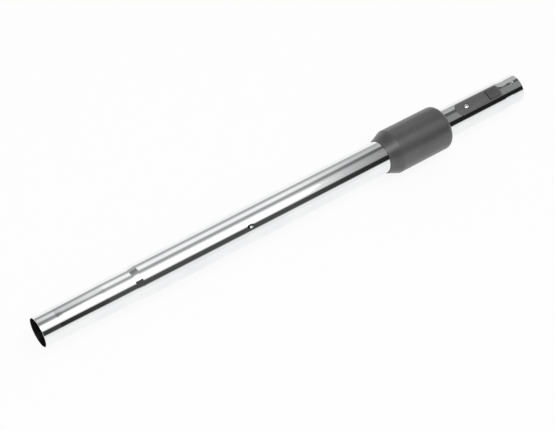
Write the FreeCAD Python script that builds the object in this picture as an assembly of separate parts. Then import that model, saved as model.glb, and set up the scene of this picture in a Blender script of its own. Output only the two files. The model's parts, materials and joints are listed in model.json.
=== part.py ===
import FreeCAD, Part
import math
import os

os.makedirs("parts", exist_ok=True)
V = FreeCAD.Vector

# Telescopic vacuum wand, collapsed and lying along X.
# The lower tip is at the origin, the latch is on top and the lock is underneath.

# Tubes
INNER_OD = 35.0
TUBE_WALL = 0.8
TUBE_GAP = 0.7
TIP_OD = 33.0
COLLAPSED_LENGTH = 630.0
RIM_ROUND = 0.3
SHOULDER_ROUND = 2.0

# Lower spigot
TIP_LAND = 20.0
SEAT_LAND = 32.0
SPIGOT_LENGTH = 107.0
SWAGE_LENGTH = 8.5

# Upper tip
UPPER_TAPER = 12.0
UPPER_LAND = 16.0

# Dimples pressed into the tubes
DIMPLE_FROM_TIP = 246.0
DIMPLE_TURN = 30.0
DIMPLE_LENGTH = 8.0
DIMPLE_DEPTH = 0.25
KEY_DIMPLE_FROM_END = 10.0
KEY_DIMPLE_LENGTH = 5.5
KEY_DIMPLE_DEPTH = 0.4

# Sleeve
BARE_INNER = 113.0
SLEEVE_LENGTH = 87.0
CONE_LENGTH = 14.0
SLEEVE_WALL = 2.2
SLEEVE_ROUND = 7.0
SLEEVE_TRAVEL = 8.0
NOSE_LIP = 0.6
NOSE_TENON = 1.4
SEAM_CHAMFER = 0.25

# Bush in the widened end of the outer tube
BUSH_WALL = 2.15
BELL_FROM_MOUTH = 19.0
BELL_FLARE = 4.0
BUSH_LENGTH = 38.5
FLANGE_LENGTH = 6.0
FLANGE_RISE = 0.7
SEAL_LENGTH = 4.0
SEAL_WALL = 2.25
WASHER = 1.0
LOCK_ROOM = 2.9

# Clearances
BUSH_CLEARANCE = 0.25
SEAL_CLEARANCE = 0.1
SLEEVE_CLEARANCE = 0.3
SHELL_CLEARANCE = 0.25
SLOT_CLEARANCE = 0.2
PAWL_CLEARANCE = 0.4
PIVOT_CLEARANCE = 0.1
RIDE_CLEARANCE = 0.05
STOP_GAP = 0.3

# Flat and notch row of the inner tube
FLAT_DEPTH = 1.3
FLAT_PAST_BUSH = 8.0
NOTCH_COUNT = 12
NOTCH_DEPTH = 1.2
NOTCH_FLOOR = 3.4
NOTCH_FLARE = 0.6

# Lock pawl
PAWL_HALF_WIDTH = 4.0
PAWL_PIVOT_FROM_BUSH = 18.5
PAWL_TOOTH_ARM = 12.0
PAWL_TOOTH = 3.0
PAWL_TAIL_ARM = 10.8
PAWL_TAIL_RISE = 2.8
PAWL_ARM = 2.0
PAWL_TAIL = 1.6
PAWL_BOSS_R = 2.1
PIVOT_R = 1.0
CHEEK = 2.1
CHEEK_RISE = 1.7
POCKET_FLOOR = 0.75
PAWL_LEAF = 0.4

# Release cam
CAM_RISE = 1.5
CAM_LEAD = 0.1
CAM_INLAY = 0.8

# Return spring
SPRING_WIRE = 1.1
SPRING_TURNS = 3

# Rivets
RIVET_R = 1.6
RIVET_HEAD_R = 3.1
RIVET_HEAD = 1.0
RIVET_CLEARANCE = 0.05

# Guide shells on the lower end of the inner tube
SHELL_LENGTH = 26.0
SHELL_FROM_END = 2.2
SHELL_SPLIT = 0.4
SHELL_PIP_R = 2.0

# Latch
LATCH_LENGTH = 65.0
LATCH_FROM_END = 30.0
LATCH_HALF_WIDTH = 8.3
LATCH_DEPTH = 2.9
LATCH_PROUD = 0.2
LATCH_POINT = 5.0
LATCH_CORNER = 3.0
LATCH_FIT = 0.15
LATCH_RIVET_FROM_POINT = 15.5
BUTTON_LENGTH = 16.0
BUTTON_HALF_WIDTH = 6.3
BUTTON_CORNER = 2.0
BUTTON_TRAVEL = 2.0
BUTTON_END_WALL = 2.6
BUTTON_FLANGE = 0.9
BUTTON_FLANGE_THICK = 0.75
BUTTON_FIT = 0.25
BUTTON_ROUND = 0.9
LATCH_LEAF = 0.5
LATCH_LEAF_HALF_WIDTH = 4.0

# Radii, from the inner tube outwards
INNER_R = INNER_OD / 2
TIP_R = TIP_OD / 2
OUTER_R = INNER_R + TUBE_GAP + TUBE_WALL
BUSH_BORE = INNER_R + BUSH_CLEARANCE
BUSH_R = BUSH_BORE + BUSH_WALL
BELL_R = BUSH_R + TUBE_WALL
FLANGE_R = BELL_R + FLANGE_RISE
SLEEVE_BORE = BELL_R + LOCK_ROOM
SLEEVE_R = SLEEVE_BORE + SLEEVE_WALL
SHELL_R = INNER_R + TUBE_GAP - SHELL_CLEARANCE
NOSE_BORE = OUTER_R + SLEEVE_CLEARANCE
END_BORE = INNER_R + SLEEVE_CLEARANCE + 0.1
FLAT = INNER_R - FLAT_DEPTH
SEAT_FLOOR = INNER_R - LATCH_DEPTH

# Stations along the axis, from the lower tip
SWAGE_END = SPIGOT_LENGTH + SWAGE_LENGTH
SLEEVE_END = COLLAPSED_LENGTH - BARE_INNER
SLEEVE_START = SLEEVE_END - SLEEVE_LENGTH
SHELL_SEAM = SLEEVE_START + CONE_LENGTH
BELL_START = SLEEVE_START + BELL_FROM_MOUTH
BELL_FULL = BELL_START + BELL_FLARE
BUSH_START = BELL_FULL + 0.5
BUSH_END = BUSH_START + BUSH_LENGTH
FLANGE_END = BUSH_END + FLANGE_LENGTH
SEAL_START = FLANGE_END - SEAL_LENGTH
NOSE_END = BELL_START + 0.6
SLEEVE_FLOOR = SLEEVE_END - SLEEVE_WALL
INNER_START = SWAGE_END - 2.5
SHELL_START = INNER_START + SHELL_FROM_END
SHELL_END = SHELL_START + SHELL_LENGTH
EXTENSION = BUSH_START - SHELL_END - STOP_GAP
NOTCH_PITCH = EXTENSION / NOTCH_COUNT
FLAT_END = FLANGE_END + FLAT_PAST_BUSH

# Lock, measured along the axis and outwards from it
PIVOT_X = BUSH_START + PAWL_PIVOT_FROM_BUSH
PIVOT_DOWN = BUSH_R - 0.3
TOOTH_X = PIVOT_X - PAWL_TOOTH_ARM
TOOTH_TIP = FLAT + RIDE_CLEARANCE
TAIL_X = PIVOT_X + PAWL_TAIL_ARM
TAIL_DOWN = PIVOT_DOWN + PAWL_TAIL_RISE
POCKET_HALF = PAWL_HALF_WIDTH + PAWL_CLEARANCE
BLOCK_HALF = POCKET_HALF + CHEEK
BLOCK_START = BUSH_START + 1.9
BLOCK_DOWN = BUSH_R + CHEEK_RISE
SLOT_HALF = BLOCK_HALF + SLOT_CLEARANCE
POCKET_DOWN = FLAT + BUSH_CLEARANCE + POCKET_FLOOR
CAM_START = TAIL_X + 0.2
CAM_END = CAM_START + SLEEVE_TRAVEL + 0.5
CAM_TOP = TAIL_DOWN + CAM_LEAD

# Latch stations
LATCH_END = COLLAPSED_LENGTH - LATCH_FROM_END
LATCH_START = LATCH_END - LATCH_LENGTH
LATCH_RIVET_X = LATCH_START + LATCH_RIVET_FROM_POINT
BUTTON_END = LATCH_END - BUTTON_END_WALL
BUTTON_START = BUTTON_END - BUTTON_LENGTH
BUTTON_PROUD = BUTTON_TRAVEL + 0.1
FLANGE_BOTTOM = SEAT_FLOOR + 0.1
FLANGE_TOP = FLANGE_BOTTOM + BUTTON_FLANGE_THICK

FAR = 2 * SLEEVE_R


def shoulder(a, b):
    # A straight cone between two rounds.
    run = b.x - a.x
    step = abs(b.z - a.z) - 2 * SHOULDER_ROUND
    slope = math.atan2(step, run) + math.asin(2 * SHOULDER_ROUND / math.hypot(run, step))
    rise = math.copysign(SHOULDER_ROUND, b.z - a.z)

    def bend(angle):
        return V(SHOULDER_ROUND * math.sin(angle), 0, rise * (1 - math.cos(angle)))

    cone_start = a + bend(slope)
    cone_end = b - bend(slope)
    return [
        Part.Arc(a, a + bend(slope / 2), cone_start).toShape(),
        Part.makeLine(cone_start, cone_end),
        Part.Arc(cone_end, b - bend(slope / 2), b).toShape(),
    ]


def spin(edges):
    return Part.Face(Part.Wire(edges)).revolve(V(0, 0, 0), V(1, 0, 0), 360)


def turned(stations, inset=0.0, overrun=0.0):
    # Stations are (x, radius, eased); an eased one is reached by a rounded shoulder.
    points = [V(x, 0, radius - inset) for x, radius, _ in stations]
    eased = [flag for _, _, flag in stations]
    if overrun:
        points = [points[0] - V(overrun, 0, 0)] + points + [points[-1] + V(overrun, 0, 0)]
        eased = [False] + eased + [False]
    first = V(points[0].x, 0, 0)
    last = V(points[-1].x, 0, 0)
    edges = [Part.makeLine(first, points[0])]
    for a, b, flag in zip(points, points[1:], eased[1:]):
        edges.extend(shoulder(a, b) if flag else [Part.makeLine(a, b)])
    edges.append(Part.makeLine(points[-1], last))
    edges.append(Part.makeLine(last, first))
    return spin(edges)


def turned_ring(outline):
    corners = [V(x, 0, radius) for x, radius in outline]
    return spin([Part.makeLine(a, b) for a, b in zip(corners, corners[1:] + corners[:1])])


def rod(x0, x1, radius):
    return Part.makeCylinder(radius, x1 - x0, V(x0, 0, 0), V(1, 0, 0))


def ring(x0, x1, inner, outer):
    return rod(x0, x1, outer).cut(rod(x0 - 1, x1 + 1, inner))


def block(x0, x1, half_y, z0, z1):
    return Part.makeBox(x1 - x0, 2 * half_y, z1 - z0, V(x0, -half_y, z0))


def below(x0, x1, half_y, top, bottom):
    # A block on the underside, between two distances from the axis.
    return block(x0, x1, half_y, -bottom, -top)


def flatted_rod(x0, x1, radius, flat):
    return rod(x0, x1, radius).cut(below(x0 - 1, x1 + 1, FAR, flat, FAR))


def cross_pin(x, down, radius, half_y):
    return Part.makeCylinder(radius, 2 * half_y, V(x, -half_y, -down), V(0, 1, 0))


def upright_pin(x, radius, z0, z1):
    return Part.makeCylinder(radius, z1 - z0, V(x, 0, z0), V(0, 0, 1))


def slice_y(points, half_y):
    corners = [V(x, -half_y, z) for x, z in points]
    return Part.Face(Part.makePolygon(corners + corners[:1])).extrude(V(0, 2 * half_y, 0))


def slice_below(points, half_y):
    return slice_y([(x, -down) for x, down in points], half_y)


def rounded_plan(x0, x1, half_y, corner, z0, z1):
    body = block(x0, x1, half_y, z0, z1)
    upright = [e for e in body.Edges if abs(e.BoundBox.ZLength - (z1 - z0)) < 1e-6]
    return body.makeFillet(corner, upright)


def latch_plan(margin, z0, z1):
    x0 = LATCH_START - margin
    x1 = LATCH_END + margin
    half = LATCH_HALF_WIDTH + margin
    body = rounded_plan(x0 - half, x1, half, LATCH_CORNER + margin, z0, z1)
    chord = LATCH_POINT
    arc_r = (half * half + chord * chord) / (2 * chord)
    nose = upright_pin(x0 + arc_r, arc_r, z0, z1)
    nose = nose.fuse(block(x0 + chord, x1 + 1, half + 1, z0, z1))
    return body.common(nose).removeSplitter()


def dish(x, radius, turn, length, depth):
    # The ball that presses a shallow dimple into a tube, turned from the top towards -Y.
    ball_r = (length * length / 4 + depth * depth) / (2 * depth)
    ball = Part.makeSphere(ball_r, V(x, 0, radius + ball_r - depth))
    ball.rotate(V(0, 0, 0), V(1, 0, 0), turn)
    return ball


def round_rim(tube, x):
    rims = [e for e in tube.Edges if e.BoundBox.XLength < 1e-6 and abs(e.BoundBox.XMin - x) < 1e-6]
    return tube.makeFillet(RIM_ROUND, rims)


def make_outer_tube():
    stations = [
        (0, TIP_R, False),
        (TIP_LAND, TIP_R, False),
        (SPIGOT_LENGTH - SEAT_LAND, INNER_R, True),
        (SPIGOT_LENGTH, INNER_R, False),
        (SWAGE_END, OUTER_R, True),
        (BELL_START, OUTER_R, False),
        (BELL_FULL, BELL_R, True),
        (BUSH_END, BELL_R, False),
    ]
    tube = turned(stations).cut(turned(stations, TUBE_WALL, 1.0))
    tube = round_rim(tube, 0)
    tube = tube.cut(below(BLOCK_START - 0.4, BUSH_END + 1, SLOT_HALF, FLAT, FAR))
    tube = tube.cut(bush_rivet_holes())
    return tube.cut(dish(DIMPLE_FROM_TIP, OUTER_R, DIMPLE_TURN, DIMPLE_LENGTH, DIMPLE_DEPTH))


def bush_rivet_holes():
    return cross_pin(PIVOT_X, 0, RIVET_R + RIVET_CLEARANCE, FAR)


def make_bush_rivets():
    shank = cross_pin(PIVOT_X, 0, RIVET_R, BELL_R + 0.5)
    head = cross_pin(PIVOT_X, 0, RIVET_HEAD_R, BELL_R + RIVET_HEAD)
    head = head.cut(rod(PIVOT_X - FAR, PIVOT_X + FAR, BELL_R))
    rivets = shank.fuse(head).cut(rod(PIVOT_X - FAR, PIVOT_X + FAR, BUSH_BORE + 0.2))
    return rivets.removeSplitter()


def make_guide_bush():
    bush = rod(BUSH_START, BUSH_END, BUSH_R).fuse(rod(BUSH_END, FLANGE_END, FLANGE_R))
    bush = bush.fuse(below(BLOCK_START, BUSH_END, BLOCK_HALF, FLAT, BLOCK_DOWN))
    bush = bush.cut(flatted_rod(BUSH_START - 1, FLANGE_END + 1, BUSH_BORE, FLAT + BUSH_CLEARANCE))
    bush = bush.cut(rod(SEAL_START, FLANGE_END + 1, BUSH_BORE + SEAL_WALL))
    tooth_front = TOOTH_X - PAWL_TOOTH / 2
    pocket = below(tooth_front - 2.0, BUSH_END - 2.5, POCKET_HALF, POCKET_DOWN, FAR)
    window = below(tooth_front - 1.2, TOOTH_X + PAWL_TOOTH / 2 + 2.5, POCKET_HALF, 0, FAR)
    cam_way = below(PIVOT_X, BUSH_END, POCKET_HALF, PIVOT_DOWN + 0.8, FAR)
    bush = bush.cut(pocket).cut(window).cut(cam_way)
    bush = bush.cut(cross_pin(PIVOT_X, PIVOT_DOWN, PIVOT_R, FAR))
    return bush.cut(bush_rivet_holes()).removeSplitter()


def make_wiper_seal():
    seal = rod(SEAL_START, FLANGE_END, BUSH_BORE + SEAL_WALL)
    lip = SEAL_CLEARANCE
    return seal.cut(flatted_rod(SEAL_START - 1, FLANGE_END + 1, INNER_R + lip, FLAT + lip))


def make_seal_washer():
    return ring(FLANGE_END, FLANGE_END + WASHER, BUSH_BORE + 0.45, FLANGE_R - 0.2)


def make_return_spring():
    start = FLANGE_END + WASHER
    length = SLEEVE_FLOOR - start - SPRING_WIRE
    mean_r = BUSH_BORE + SPRING_WIRE + 0.75
    path = Part.Wire(Part.makeHelix(length / SPRING_TURNS, length, mean_r))
    half = SPRING_WIRE / 2
    corners = [
        V(mean_r - half, 0, -half),
        V(mean_r + half, 0, -half),
        V(mean_r + half, 0, half),
        V(mean_r - half, 0, half),
    ]
    section = Part.makePolygon(corners + corners[:1])
    spring = path.makePipeShell([section], True, True)
    spring.rotate(V(0, 0, 0), V(0, 1, 0), 90)
    spring.translate(V(start + half, 0, 0))
    return spring


def make_lock_pawl():
    front = TOOTH_X - PAWL_TOOTH / 2
    back = TOOTH_X + PAWL_TOOTH / 2
    arm = PAWL_ARM / 2
    outline = [
        (front, TOOTH_TIP),
        (back, TOOTH_TIP),
        (back, PIVOT_DOWN - arm),
        (PIVOT_X + 1.5, PIVOT_DOWN - arm),
        (TAIL_X, TAIL_DOWN - PAWL_TAIL),
        (TAIL_X, TAIL_DOWN),
        (PIVOT_X + 2.0, PIVOT_DOWN + PAWL_TAIL),
        (PIVOT_X - 2.0, PIVOT_DOWN + arm),
        (front, PIVOT_DOWN + arm),
    ]
    pawl = slice_below(outline, PAWL_HALF_WIDTH)
    pawl = pawl.fuse(cross_pin(PIVOT_X, PIVOT_DOWN, PAWL_BOSS_R, PAWL_HALF_WIDTH))
    return pawl.cut(cross_pin(PIVOT_X, PIVOT_DOWN, PIVOT_R + PIVOT_CLEARANCE, FAR)).removeSplitter()


def make_pawl_pin():
    return cross_pin(PIVOT_X, PIVOT_DOWN, PIVOT_R, BLOCK_HALF - 0.1)


def make_pawl_spring():
    # A hairpin leaf: one leg on the pocket floor, the other under the tail of the pawl.
    floor = POCKET_DOWN + 0.02
    bend = BUSH_END - 3.0
    tip_x = TAIL_X - 1.8
    tail_under = PIVOT_DOWN - PAWL_ARM / 2
    tail_slope = (TAIL_DOWN - PAWL_TAIL - tail_under) / (PAWL_TAIL_ARM - 1.5)
    touch = tail_under + tail_slope * (tip_x - PIVOT_X - 1.5) - 0.04
    outline = [
        (PIVOT_X + 4.5, floor),
        (bend - 0.5, floor),
        (bend, floor + 1.3 * PAWL_LEAF),
        (tip_x, touch),
        (tip_x - 0.1, touch - PAWL_LEAF),
        (bend - 1.2, floor + PAWL_LEAF),
        (PIVOT_X + 4.5, floor + PAWL_LEAF),
    ]
    return slice_below(outline, PAWL_HALF_WIDTH - 0.5)


def cam_inlay():
    return below(CAM_START, CAM_END, PAWL_HALF_WIDTH - 0.2, 0, FAR).common(
        rod(CAM_START, CAM_END, SLEEVE_BORE + CAM_INLAY)
    )


def make_release_cam():
    wedge = slice_below(
        [(CAM_START, CAM_TOP), (CAM_END, CAM_TOP - CAM_RISE), (CAM_END, FAR), (CAM_START, FAR)], FAR
    )
    return wedge.common(cam_inlay())


def make_sleeve_shell():
    inner_round = 2.5
    bend = SLEEVE_ROUND * 0.5 ** 0.5
    hub = V(SLEEVE_END - SLEEVE_ROUND, 0, SLEEVE_R - SLEEVE_ROUND)
    inner_bend = inner_round * 0.5 ** 0.5
    inner_hub = V(SLEEVE_FLOOR - inner_round, 0, SLEEVE_BORE - inner_round)
    a = V(SHELL_SEAM, 0, SLEEVE_R - SEAM_CHAMFER)
    b = V(SHELL_SEAM + SEAM_CHAMFER, 0, SLEEVE_R)
    c = hub + V(0, 0, SLEEVE_ROUND)
    d = hub + V(SLEEVE_ROUND, 0, 0)
    e = V(SLEEVE_END, 0, END_BORE)
    f = V(SLEEVE_FLOOR, 0, END_BORE)
    g = inner_hub + V(inner_round, 0, 0)
    h = inner_hub + V(0, 0, inner_round)
    k = V(SHELL_SEAM, 0, SLEEVE_BORE)
    shell = spin([
        Part.makeLine(a, b),
        Part.makeLine(b, c),
        Part.Arc(c, hub + V(bend, 0, bend), d).toShape(),
        Part.makeLine(d, e),
        Part.makeLine(e, f),
        Part.makeLine(f, g),
        Part.Arc(g, inner_hub + V(inner_bend, 0, inner_bend), h).toShape(),
        Part.makeLine(h, k),
        Part.makeLine(k, a),
    ])
    return shell.cut(cam_inlay())


def make_sleeve_nose():
    rib = NOSE_BORE + 1.7
    tenon = SLEEVE_BORE - NOSE_TENON
    hollow = SLEEVE_START + 0.72 * CONE_LENGTH
    outline = [
        (SLEEVE_START, NOSE_BORE),
        (SLEEVE_START, NOSE_BORE + NOSE_LIP),
        (SHELL_SEAM - SEAM_CHAMFER, SLEEVE_R - SEAM_CHAMFER / 2),
        (SHELL_SEAM, SLEEVE_R - SEAM_CHAMFER),
        (SHELL_SEAM, SLEEVE_BORE),
        (NOSE_END, SLEEVE_BORE),
        (NOSE_END, tenon),
        (hollow, tenon),
        (hollow, rib),
        (NOSE_END, rib),
        (NOSE_END, NOSE_BORE),
    ]
    return turned_ring(outline)


def notch(centre, margin):
    floor = FLAT - NOTCH_DEPTH - margin
    mouth = FLAT + 0.3
    half = NOTCH_FLOOR / 2 + margin
    flare = NOTCH_FLARE * (mouth - floor) / NOTCH_DEPTH
    outline = [
        (centre - half, floor),
        (centre + half, floor),
        (centre + half + flare, mouth),
        (centre - half - flare, mouth),
    ]
    return slice_below(outline, FAR)


def make_inner_tube():
    stations = [
        (INNER_START, INNER_R, False),
        (COLLAPSED_LENGTH - UPPER_LAND - UPPER_TAPER, INNER_R, False),
        (COLLAPSED_LENGTH - UPPER_LAND, TIP_R, True),
        (COLLAPSED_LENGTH, TIP_R, False),
    ]
    notches = [TOOTH_X - NOTCH_PITCH * n for n in range(1, NOTCH_COUNT + 1)]
    body = turned(stations).cut(below(INNER_START - 1, FLAT_END, FAR, FLAT, FAR))
    body = body.cut([notch(x, 0) for x in notches])
    body = body.cut(latch_plan(0, SEAT_FLOOR, FAR))
    duct = turned(stations, TUBE_WALL, 1.0)
    duct = duct.cut(below(INNER_START - 2, FLAT_END + TUBE_WALL, FAR, FLAT - TUBE_WALL, FAR))
    duct = duct.cut([notch(x, TUBE_WALL) for x in notches])
    duct = duct.cut(latch_plan(TUBE_WALL, SEAT_FLOOR - TUBE_WALL, FAR))
    tube = body.cut(duct)
    tube = round_rim(tube, COLLAPSED_LENGTH)
    flange = BUTTON_FLANGE + BUTTON_FIT
    tube = tube.cut(rounded_plan(
        BUTTON_START - flange, BUTTON_END + flange, BUTTON_HALF_WIDTH + flange, BUTTON_CORNER, 0, FAR
    ))
    tube = tube.cut(upright_pin(LATCH_RIVET_X, RIVET_R + RIVET_CLEARANCE, 0, FAR))
    tube = tube.cut(upright_pin(SHELL_START + SHELL_LENGTH / 2, SHELL_PIP_R + RIVET_CLEARANCE, -FAR, FAR))
    key_x = COLLAPSED_LENGTH - KEY_DIMPLE_FROM_END
    return tube.cut(dish(key_x, TIP_R, 0, KEY_DIMPLE_LENGTH, KEY_DIMPLE_DEPTH))


def make_guide_shells():
    # The two half shells, top first.
    seat = RIDE_CLEARANCE
    tube = flatted_rod(SHELL_START - 1, SHELL_END + 1, INNER_R + seat, FLAT + seat)
    duct = flatted_rod(SHELL_START - 1, SHELL_END + 1, INNER_R - TUBE_WALL, FLAT - TUBE_WALL)
    whole = rod(SHELL_START, SHELL_END, SHELL_R)
    pip_reach = SHELL_R - 0.25
    pips = upright_pin(SHELL_START + SHELL_LENGTH / 2, SHELL_PIP_R, -pip_reach, pip_reach).cut(duct)
    whole = whole.cut(tube).fuse(pips).removeSplitter()
    split = block(SHELL_START - 1, SHELL_END + 1, FAR, -SHELL_SPLIT / 2, SHELL_SPLIT / 2)
    halves = sorted(whole.cut(split).Solids, key=lambda half: -half.CenterOfMass.z)
    return halves[0], halves[1]


def make_latch_plate():
    plate = latch_plan(-LATCH_FIT, SEAT_FLOOR, FAR)
    plate = plate.common(rod(LATCH_START - 1, LATCH_END + 1, INNER_R + LATCH_PROUD))
    plate = plate.cut(rounded_plan(
        BUTTON_START - BUTTON_FIT, BUTTON_END + BUTTON_FIT, BUTTON_HALF_WIDTH + BUTTON_FIT,
        BUTTON_CORNER, 0, FAR
    ))
    flange = BUTTON_FLANGE + BUTTON_FIT
    plate = plate.cut(rounded_plan(
        BUTTON_START - flange, BUTTON_END + flange, BUTTON_HALF_WIDTH + flange, BUTTON_CORNER,
        0, FLANGE_TOP + RIDE_CLEARANCE
    ))
    plate = plate.cut(upright_pin(LATCH_RIVET_X, RIVET_R + RIVET_CLEARANCE, 0, FAR))
    return plate.cut(upright_pin(LATCH_RIVET_X, RIVET_HEAD_R + 0.3, rivet_face(), FAR))


def rivet_face():
    return INNER_R + LATCH_PROUD - 0.7


def make_latch_rivet():
    under = SEAT_FLOOR - TUBE_WALL - LATCH_LEAF
    dome_r = (RIVET_HEAD_R * RIVET_HEAD_R + RIVET_HEAD * RIVET_HEAD) / (2 * RIVET_HEAD)
    dome = Part.makeSphere(dome_r, V(LATCH_RIVET_X, 0, rivet_face() + RIVET_HEAD - dome_r))
    head = dome.common(upright_pin(LATCH_RIVET_X, RIVET_HEAD_R, rivet_face(), FAR))
    shank = upright_pin(LATCH_RIVET_X, RIVET_R, under, rivet_face())
    clinch = upright_pin(LATCH_RIVET_X, RIVET_HEAD_R - 0.4, under - 0.8, under)
    return head.fuse(shank).fuse(clinch).removeSplitter()


def make_latch_spring():
    # A leaf under the seat that rises through it to the button.
    top = SEAT_FLOOR - TUBE_WALL
    touch_x = (BUTTON_START + BUTTON_END) / 2
    lift_x = BUTTON_START + 0.5
    touch = FLANGE_BOTTOM - 0.04
    outline = [
        (LATCH_RIVET_X - 5.0, top),
        (lift_x, top),
        (touch_x, touch),
        (touch_x + 2.0, touch),
        (touch_x + 2.0, touch - LATCH_LEAF),
        (touch_x, touch - LATCH_LEAF),
        (lift_x, top - LATCH_LEAF),
        (LATCH_RIVET_X - 5.0, top - LATCH_LEAF),
    ]
    leaf = slice_y(outline, LATCH_LEAF_HALF_WIDTH)
    return leaf.cut(upright_pin(LATCH_RIVET_X, RIVET_R + RIVET_CLEARANCE, 0, FAR))


def make_latch_button():
    cap = rounded_plan(BUTTON_START, BUTTON_END, BUTTON_HALF_WIDTH, BUTTON_CORNER, FLANGE_BOTTOM, FAR)
    cap = cap.common(rod(BUTTON_START - 1, BUTTON_END + 1, INNER_R + BUTTON_PROUD))
    brim = [e for e in cap.Edges if e.BoundBox.ZMin > INNER_R]
    cap = cap.makeFillet(BUTTON_ROUND, brim)
    flange = rounded_plan(
        BUTTON_START - BUTTON_FLANGE, BUTTON_END + BUTTON_FLANGE, BUTTON_HALF_WIDTH + BUTTON_FLANGE,
        BUTTON_CORNER, FLANGE_BOTTOM, FLANGE_TOP
    )
    return cap.fuse(flange).removeSplitter()


def main():
    shell_top, shell_base = make_guide_shells()
    nodes = {
        "outer_tube": make_outer_tube(),
        "guide_bush": make_guide_bush(),
        "bush_rivets": make_bush_rivets(),
        "wiper_seal": make_wiper_seal(),
        "seal_washer": make_seal_washer(),
        "return_spring": make_return_spring(),
        "pawl_pin": make_pawl_pin(),
        "pawl_spring": make_pawl_spring(),
        "lock_pawl": make_lock_pawl(),
        "sleeve_shell": make_sleeve_shell(),
        "sleeve_nose": make_sleeve_nose(),
        "release_cam": make_release_cam(),
        "inner_tube": make_inner_tube(),
        "guide_shell_top": shell_top,
        "guide_shell_base": shell_base,
        "latch_plate": make_latch_plate(),
        "latch_rivet": make_latch_rivet(),
        "latch_spring": make_latch_spring(),
        "latch_button": make_latch_button(),
    }
    for name, shape in nodes.items():
        shape.exportStep("parts/" + name + ".step")


main()
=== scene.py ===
import json
import math

import bpy
from mathutils import Matrix, Vector


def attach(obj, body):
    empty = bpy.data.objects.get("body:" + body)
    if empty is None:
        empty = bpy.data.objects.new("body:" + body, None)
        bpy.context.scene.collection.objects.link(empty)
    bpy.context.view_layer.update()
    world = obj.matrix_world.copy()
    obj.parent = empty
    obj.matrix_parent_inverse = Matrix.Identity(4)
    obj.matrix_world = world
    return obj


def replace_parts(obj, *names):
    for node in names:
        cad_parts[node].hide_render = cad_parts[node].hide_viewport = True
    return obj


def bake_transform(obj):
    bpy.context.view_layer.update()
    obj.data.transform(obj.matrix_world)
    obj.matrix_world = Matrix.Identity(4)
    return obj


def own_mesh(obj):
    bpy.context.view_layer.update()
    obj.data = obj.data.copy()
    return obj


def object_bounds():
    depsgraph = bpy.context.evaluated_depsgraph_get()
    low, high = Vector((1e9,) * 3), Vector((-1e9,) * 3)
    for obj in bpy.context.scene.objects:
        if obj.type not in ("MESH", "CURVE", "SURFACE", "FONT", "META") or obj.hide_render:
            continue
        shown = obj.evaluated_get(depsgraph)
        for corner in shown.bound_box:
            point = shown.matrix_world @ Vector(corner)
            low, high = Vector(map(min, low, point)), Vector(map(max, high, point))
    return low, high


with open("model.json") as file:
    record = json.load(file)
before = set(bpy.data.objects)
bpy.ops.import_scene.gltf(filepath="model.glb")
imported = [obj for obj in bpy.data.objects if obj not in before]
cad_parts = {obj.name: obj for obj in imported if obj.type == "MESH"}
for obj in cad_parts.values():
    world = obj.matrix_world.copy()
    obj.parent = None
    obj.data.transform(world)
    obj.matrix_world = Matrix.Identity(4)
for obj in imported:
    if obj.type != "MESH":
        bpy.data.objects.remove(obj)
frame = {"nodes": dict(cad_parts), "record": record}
cad_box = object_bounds()

# Camera
CAMERA_PLACE = Vector((-0.3208, -0.5158, 1.2626))
CAMERA_RIGHT = Vector((0.8120, -0.5601, 0.1635))
CAMERA_BACK = Vector((-0.4067, -0.3422, 0.8470))
LENS_MM = 91.0
SENSOR_MM = 36.0
CLIP_START = 0.01

# Studio
FLOOR_HALF = 6.0
FLOOR_COLOUR = (0.86, 0.86, 0.86, 1.0)
FLOOR_WHITE = 0.9
FILL_LIGHT = 0.6
SOFTBOX_PLACE = (0.2, -0.3, 2.1)
SOFTBOX_SIZE = (2.0, 2.0)
SOFTBOX_WATTS = 12.0
STRIP_PLACE = (0.2, -0.25, 2.0)
STRIP_SIZE = (2.2, 0.7)
STRIP_WATTS = 11.0

# What the metal mirrors: brightness of the surroundings
OVERHEAD = 1.08
OVERHEAD_UPPER_END = 0.26
FAR_SIDE = 1.0
FAR_SIDE_UPPER_END = 0.48
FAR_SIDE_LOWER_END = 0.60
FAR_SIDE_SWAGE = 0.22
FAR_LINE = 0.36
FAR_LINE_UPPER_END = 0.10
FAR_LINE_LOWER_END = 0.18
HORIZON = 0.46
HORIZON_LOWER_END = 0.32
NEAR_GAP = 0.075
NEAR_GAP_UPPER_END = 0.014
NEAR_GAP_LOWER_END = 0.02
NEAR_SIDE = 0.92

# Bands of the surroundings, in degrees from straight up towards -Y: start, dark, dark, end
HORIZON_BAND = (-98, -90, -70, -60)
FAR_LINE_BAND = (-42, -35, -14, -7)
FAR_LINE_SHIFT_UPPER_END = 6
FAR_LINE_SPREAD_LOWER_END = 3
NEAR_GAP_START = 27
NEAR_GAP_START_SWAGE = 14
NEAR_GAP_END = 62
NEAR_GAP_EDGE = 9

# X of the mirrored direction where each part of the surroundings begins and where it is all there is
UPPER_END_X = (0.405, 0.50)
PAST_UPPER_END_X = (0.72, 0.80)
LOWER_END_X = (0.28, 0.20)
SWAGE_X = (0.19, 0.10)

# Finishes: grains per metre, stretch along the axes, and depth of the relief in metres
DRAWN_GRAIN = 700.0
DRAWN_STRETCH = (0.01, 1.0, 1.0)
DRAWN_DEPTH = 0.0000015
HAZE_GRAIN = 28.0
BORE_COLOUR = (0.05, 0.05, 0.052, 1.0)
BORE_ROUGHNESS = 0.45
MOULD_GRAIN = 2600.0
MOULD_DETAIL = 2.0
MOULD_DEPTH = 0.00006
MOULD_SPECULAR = 0.8
FLOW_GRAIN = 60.0
FLOW_STRETCH = (0.5, 1.0, 1.0)
BRUSHED_GRAIN = 1500.0
BRUSHED_DEPTH = 0.00001
PATCH_GRAIN = 240.0
SKIN_GRAIN = 900.0
SKIN_DEPTH = 0.00004
SKIN_LEVEL = 0.018
DUST_GRAIN = 150.0
DUST_DETAIL = 5.0
DUST_LEVEL = 0.09


# Shader nodes

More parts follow.
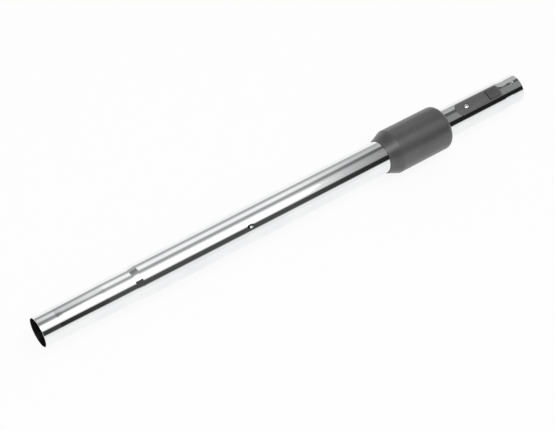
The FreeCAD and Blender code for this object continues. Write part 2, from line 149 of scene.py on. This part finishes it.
def add(tree, kind, **settings):
    made = tree.nodes.new(kind)
    for name, value in settings.items():
        setattr(made, name, value)
    return made


def connect(tree, source, target):
    # A plain value is set on the socket, anything else is linked to it.
    if isinstance(source, bpy.types.NodeSocket):
        tree.links.new(source, target)
    else:
        target.default_value = source


def math_node(tree, operation, a, b=0.0):
    made = add(tree, "ShaderNodeMath", operation=operation)
    connect(tree, a, made.inputs[0])
    connect(tree, b, made.inputs[1])
    return made.outputs[0]


def mapped(tree, value, from_low, from_high, to_low=0.0, to_high=1.0, smooth=False):
    made = add(tree, "ShaderNodeMapRange")
    made.interpolation_type = "SMOOTHSTEP" if smooth else "LINEAR"
    connect(tree, value, made.inputs["Value"])
    made.inputs["From Min"].default_value = from_low
    made.inputs["From Max"].default_value = from_high
    made.inputs["To Min"].default_value = to_low
    made.inputs["To Max"].default_value = to_high
    return made.outputs["Result"]


def mixed(tree, factor, a, b):
    # The colour sockets of this node share their names, so they go by number.
    made = add(tree, "ShaderNodeMix", data_type="RGBA")
    connect(tree, factor, made.inputs["Factor"])
    connect(tree, a, made.inputs[6])
    connect(tree, b, made.inputs[7])
    return made.outputs[2]


def grey(level):
    return (level, level, level, 1.0)


def ramp(tree, value, stops):
    made = add(tree, "ShaderNodeValToRGB")
    elements = made.color_ramp.elements
    while len(elements) < len(stops):
        elements.new(1.0)
    for element, (place, colour) in zip(elements, stops):
        element.position = place
        element.color = colour
    connect(tree, value, made.inputs["Fac"])
    return made.outputs["Color"]


# Surroundings

def sky_stops(
    overhead, far_side, far_line, near_gap,
    horizon=HORIZON, line_shift=0, line_spread=0, gap_start=NEAR_GAP_START,
):
    # Each band's place in degrees and the brightness there, as stops of a full turn.
    line = [place - line_shift for place in FAR_LINE_BAND]
    bands = [
        (HORIZON_BAND[0], far_side),
        (HORIZON_BAND[1], horizon),
        (HORIZON_BAND[2], horizon),
        (HORIZON_BAND[3], far_side),
        (line[0] - line_spread, far_side),
        (line[1] - line_spread, far_line),
        (line[2] + line_spread, far_line),
        (line[3] + line_spread, overhead),
        (gap_start, overhead),
        (gap_start + NEAR_GAP_EDGE, near_gap),
        (NEAR_GAP_END, near_gap),
        (NEAR_GAP_END + NEAR_GAP_EDGE, NEAR_SIDE),
    ]
    return [((angle + 180) / 360, grey(level)) for angle, level in bands]


def mirrored_sky(tree):
    # Bands that run along the wand, in four versions that change with the mirrored direction's X.
    direction = add(tree, "ShaderNodeSeparateXYZ")
    tree.links.new(add(tree, "ShaderNodeTexCoord").outputs["Generated"], direction.inputs[0])
    along = direction.outputs["X"]
    towards_front = math_node(tree, "MULTIPLY", direction.outputs["Y"], -1.0)
    angle = math_node(tree, "ARCTAN2", towards_front, direction.outputs["Z"])
    turn = mapped(tree, angle, -math.pi, math.pi)
    middle = ramp(tree, turn, sky_stops(OVERHEAD, FAR_SIDE, FAR_LINE, NEAR_GAP))
    upper = ramp(tree, turn, sky_stops(
        OVERHEAD_UPPER_END, FAR_SIDE_UPPER_END, FAR_LINE_UPPER_END, NEAR_GAP_UPPER_END,
        line_shift=FAR_LINE_SHIFT_UPPER_END,
    ))
    lower = ramp(tree, turn, sky_stops(
        OVERHEAD, FAR_SIDE_LOWER_END, FAR_LINE_LOWER_END, NEAR_GAP_LOWER_END,
        horizon=HORIZON_LOWER_END, line_spread=FAR_LINE_SPREAD_LOWER_END,
    ))
    swage = ramp(tree, turn, sky_stops(
        OVERHEAD, FAR_SIDE_SWAGE, FAR_LINE, NEAR_GAP, gap_start=NEAR_GAP_START_SWAGE
    ))
    colour = mixed(tree, mapped(tree, along, *UPPER_END_X, smooth=True), middle, upper)
    colour = mixed(tree, mapped(tree, along, *PAST_UPPER_END_X, smooth=True), colour, middle)
    colour = mixed(tree, mapped(tree, along, *LOWER_END_X, smooth=True), colour, lower)
    return mixed(tree, mapped(tree, along, *SWAGE_X, smooth=True), colour, swage)


def make_world():
    world = bpy.data.worlds.new("studio")
    world.use_nodes = True
    bpy.context.scene.world = world
    tree = world.node_tree
    tree.nodes.clear()
    rays = add(tree, "ShaderNodeLightPath")
    seen = math_node(tree, "MAXIMUM", rays.outputs["Is Camera Ray"], rays.outputs["Is Transmission Ray"])
    colour = mixed(tree, seen, grey(FILL_LIGHT), grey(1.0))
    colour = mixed(tree, rays.outputs["Is Glossy Ray"], colour, mirrored_sky(tree))
    background = add(tree, "ShaderNodeBackground")
    background.inputs["Strength"].default_value = 1.0
    tree.links.new(colour, background.inputs["Color"])
    output = add(tree, "ShaderNodeOutputWorld")
    tree.links.new(background.outputs[0], output.inputs["Surface"])


def make_floor():
    # A white table that keeps a faint shadow.
    z = cad_box[0].z
    corners = [(-1, -1), (1, -1), (1, 1), (-1, 1)]
    mesh = bpy.data.meshes.new("floor")
    mesh.from_pydata([(x * FLOOR_HALF, y * FLOOR_HALF, z) for x, y in corners], [], [(0, 1, 2, 3)])
    floor = bpy.data.objects.new("floor", mesh)
    bpy.context.scene.collection.objects.link(floor)
    material = bpy.data.materials.new("floor_white")
    material.use_nodes = True
    tree = material.node_tree
    tree.nodes.clear()
    cloth = add(tree, "ShaderNodeBsdfDiffuse")
    cloth.inputs["Color"].default_value = FLOOR_COLOUR
    white = add(tree, "ShaderNodeEmission")
    white.inputs["Strength"].default_value = 1.0
    rays = add(tree, "ShaderNodeLightPath")
    seen = math_node(tree, "MAXIMUM", rays.outputs["Is Camera Ray"], rays.outputs["Is Glossy Ray"])
    seen = math_node(tree, "MAXIMUM", seen, rays.outputs["Is Transmission Ray"])
    share = math_node(tree, "MULTIPLY", seen, FLOOR_WHITE)
    blend = add(tree, "ShaderNodeMixShader")
    tree.links.new(share, blend.inputs[0])
    tree.links.new(cloth.outputs[0], blend.inputs[1])
    tree.links.new(white.outputs[0], blend.inputs[2])
    output = add(tree, "ShaderNodeOutputMaterial")
    tree.links.new(blend.outputs[0], output.inputs["Surface"])
    mesh.materials.append(material)


def make_lamp(name, place, size, watts, mirrored):
    lamp = bpy.data.lights.new(name, "AREA")
    lamp.shape = "RECTANGLE"
    lamp.size = size[0]
    lamp.size_y = size[1]
    lamp.energy = watts
    holder = bpy.data.objects.new(name, lamp)
    holder.location = place
    holder.visible_glossy = mirrored
    bpy.context.scene.collection.objects.link(holder)


def make_camera():
    back = CAMERA_BACK.normalized()
    up = back.cross(CAMERA_RIGHT).normalized()
    right = up.cross(back)
    turn = Matrix((right, up, back)).transposed().to_4x4()
    camera = bpy.data.objects.new("camera", bpy.data.cameras.new("camera"))
    camera.data.lens = LENS_MM
    camera.data.sensor_width = SENSOR_MM
    camera.data.clip_start = CLIP_START
    camera.matrix_world = Matrix.Translation(CAMERA_PLACE) @ turn
    bpy.context.scene.collection.objects.link(camera)
    bpy.context.scene.camera = camera


# Materials

def grain(tree, scale, stretch=(1.0, 1.0, 1.0), detail=3.0):
    # Noise in metres of the frame, drawn out along an axis by a small stretch number.
    place = add(tree, "ShaderNodeTexCoord")
    mapping = add(tree, "ShaderNodeMapping")
    mapping.inputs["Scale"].default_value = stretch
    noise = add(tree, "ShaderNodeTexNoise")
    noise.inputs["Scale"].default_value = scale
    noise.inputs["Detail"].default_value = detail
    tree.links.new(place.outputs["Object"], mapping.inputs["Vector"])
    tree.links.new(mapping.outputs["Vector"], noise.inputs["Vector"])
    return noise.outputs["Fac"]


def relief(tree, height, depth):
    bump = add(tree, "ShaderNodeBump")
    bump.inputs["Distance"].default_value = depth
    tree.links.new(height, bump.inputs["Height"])
    return bump.outputs["Normal"]


def inner_wall(tree):
    # 1 on the wall of the duct, 0 on the outside of the tube.
    place = add(tree, "ShaderNodeTexCoord")
    radial = add(tree, "ShaderNodeVectorMath", operation="MULTIPLY")
    radial.inputs[1].default_value = (0.0, 1.0, 1.0)
    tree.links.new(place.outputs["Object"], radial.inputs[0])
    facing = add(tree, "ShaderNodeVectorMath", operation="DOT_PRODUCT")
    tree.links.new(radial.outputs[0], facing.inputs[0])
    tree.links.new(place.outputs["Normal"], facing.inputs[1])
    return math_node(tree, "LESS_THAN", facing.outputs["Value"], 0.0)


def worn_edges(tree, colour, worn):
    shape = add(tree, "ShaderNodeNewGeometry")
    wear = mapped(tree, shape.outputs["Pointiness"], 0.52, 0.60, 0.0, 0.35)
    return mixed(tree, wear, colour, worn)


def new_material(name, metallic):
    material = bpy.data.materials.new(name)
    material.use_nodes = True
    tree = material.node_tree
    shader = tree.nodes["Principled BSDF"]
    shader.inputs["Metallic"].default_value = metallic
    return material, tree, shader


def chrome(name, dull, bright):
    material, tree, shader = new_material(name, 1.0)
    drawn = grain(tree, DRAWN_GRAIN, DRAWN_STRETCH)
    haze = grain(tree, HAZE_GRAIN)
    plate = mixed(tree, mapped(tree, haze, 0.35, 0.65), dull, bright)
    bore = inner_wall(tree)
    tree.links.new(mixed(tree, bore, plate, BORE_COLOUR), shader.inputs["Base Color"])
    polish = mapped(tree, haze, 0.3, 0.7, 0.02, 0.05)
    polish = math_node(tree, "ADD", polish, mapped(tree, drawn, 0.4, 0.7, 0.0, 0.03))
    polish = math_node(tree, "ADD", polish, math_node(tree, "MULTIPLY", bore, BORE_ROUGHNESS))
    tree.links.new(polish, shader.inputs["Roughness"])
    tree.links.new(relief(tree, drawn, DRAWN_DEPTH), shader.inputs["Normal"])
    return material


def moulded(name, dark, light, worn, rough_low, rough_high):
    material, tree, shader = new_material(name, 0.0)
    sparks = grain(tree, MOULD_GRAIN, detail=MOULD_DETAIL)
    flow = grain(tree, FLOW_GRAIN, FLOW_STRETCH)
    colour = mixed(tree, mapped(tree, flow, 0.3, 0.7), dark, light)
    tree.links.new(worn_edges(tree, colour, worn), shader.inputs["Base Color"])
    tree.links.new(mapped(tree, sparks, 0.3, 0.7, rough_low, rough_high), shader.inputs["Roughness"])
    tree.links.new(relief(tree, sparks, MOULD_DEPTH), shader.inputs["Normal"])
    shader.inputs["Specular IOR Level"].default_value = MOULD_SPECULAR
    return material


def steel(name, dull, bright, rough_low, rough_high, stretch):
    material, tree, shader = new_material(name, 1.0)
    brushed = grain(tree, BRUSHED_GRAIN, stretch)
    patches = grain(tree, PATCH_GRAIN)
    colour = mixed(tree, mapped(tree, patches, 0.35, 0.65), dull, bright)
    tree.links.new(colour, shader.inputs["Base Color"])
    tree.links.new(mapped(tree, brushed, 0.3, 0.7, rough_low, rough_high), shader.inputs["Roughness"])
    tree.links.new(relief(tree, brushed, BRUSHED_DEPTH), shader.inputs["Normal"])
    return material


def rubber(name):
    material, tree, shader = new_material(name, 0.0)
    skin = grain(tree, SKIN_GRAIN)
    dust = grain(tree, DUST_GRAIN, detail=DUST_DETAIL)
    colour = mixed(tree, mapped(tree, dust, 0.5, 0.8, 0.0, 0.4), grey(SKIN_LEVEL), grey(DUST_LEVEL))
    tree.links.new(colour, shader.inputs["Base Color"])
    tree.links.new(mapped(tree, skin, 0.3, 0.7, 0.55, 0.8), shader.inputs["Roughness"])
    tree.links.new(relief(tree, skin, SKIN_DEPTH), shader.inputs["Normal"])
    return material


def make_materials():
    return {
        "chrome_outer": chrome("chrome_outer", (0.86, 0.87, 0.88, 1), (0.91, 0.915, 0.92, 1)),
        "chrome_inner": chrome("chrome_inner", (0.84, 0.85, 0.86, 1), (0.89, 0.895, 0.90, 1)),
        "sleeve_plastic": moulded(
            "sleeve_plastic", (0.056, 0.056, 0.058, 1), (0.072, 0.072, 0.074, 1), grey(0.16), 0.26, 0.38
        ),
        "latch_plastic": moulded(
            "latch_plastic", (0.052, 0.052, 0.054, 1), (0.070, 0.070, 0.072, 1), grey(0.14), 0.42, 0.58
        ),
        "button_plastic": moulded(
            "button_plastic", (0.048, 0.048, 0.05, 1), (0.064, 0.064, 0.066, 1), grey(0.14), 0.38, 0.52
        ),
        "rivet_steel": steel(
            "rivet_steel", (0.72, 0.72, 0.73, 1), (0.86, 0.86, 0.87, 1), 0.14, 0.30, (1, 1, 1)
        ),
        "bush_plastic": moulded(
            "bush_plastic", (0.66, 0.65, 0.61, 1), (0.76, 0.75, 0.71, 1), (0.82, 0.81, 0.78, 1), 0.42, 0.6
        ),
        "seal_rubber": rubber("seal_rubber"),
        "plain_steel": steel(
            "plain_steel", (0.46, 0.47, 0.49, 1), (0.62, 0.62, 0.62, 1), 0.25, 0.5, (0.1, 1, 1)
        ),
        "spring_steel": steel(
            "spring_steel", (0.36, 0.36, 0.37, 1), (0.5, 0.5, 0.51, 1), 0.22, 0.42, (1, 0.2, 1)
        ),
    }


def dress_nodes():
    finishes = make_materials()
    for part in frame["record"]["subparts"]:
        mesh = frame["nodes"][part["node"]].data
        mesh.materials.clear()
        mesh.materials.append(finishes[part["material_slot"]])


# Springs

def flexible(node, name):
    # The spring's own shape, as a separate piece in place of the hidden part.
    piece = bpy.data.objects.new(name, frame["nodes"][node].data.copy())
    bpy.context.scene.collection.objects.link(piece)
    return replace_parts(piece, node)


def make_springs():
    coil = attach(flexible("return_spring", "return_spring_coil"), "outer")
    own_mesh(coil)
    leaf = flexible("latch_spring", "latch_spring_leaf")
    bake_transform(leaf)
    hairpin = flexible("pawl_spring", "pawl_spring_leaf")
    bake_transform(hairpin)


make_world()
make_floor()
make_lamp("softbox", SOFTBOX_PLACE, SOFTBOX_SIZE, SOFTBOX_WATTS, mirrored=False)
make_lamp("strip", STRIP_PLACE, STRIP_SIZE, STRIP_WATTS, mirrored=True)
make_camera()
dress_nodes()
make_springs()
bpy.context.scene.view_settings.view_transform = "Standard"
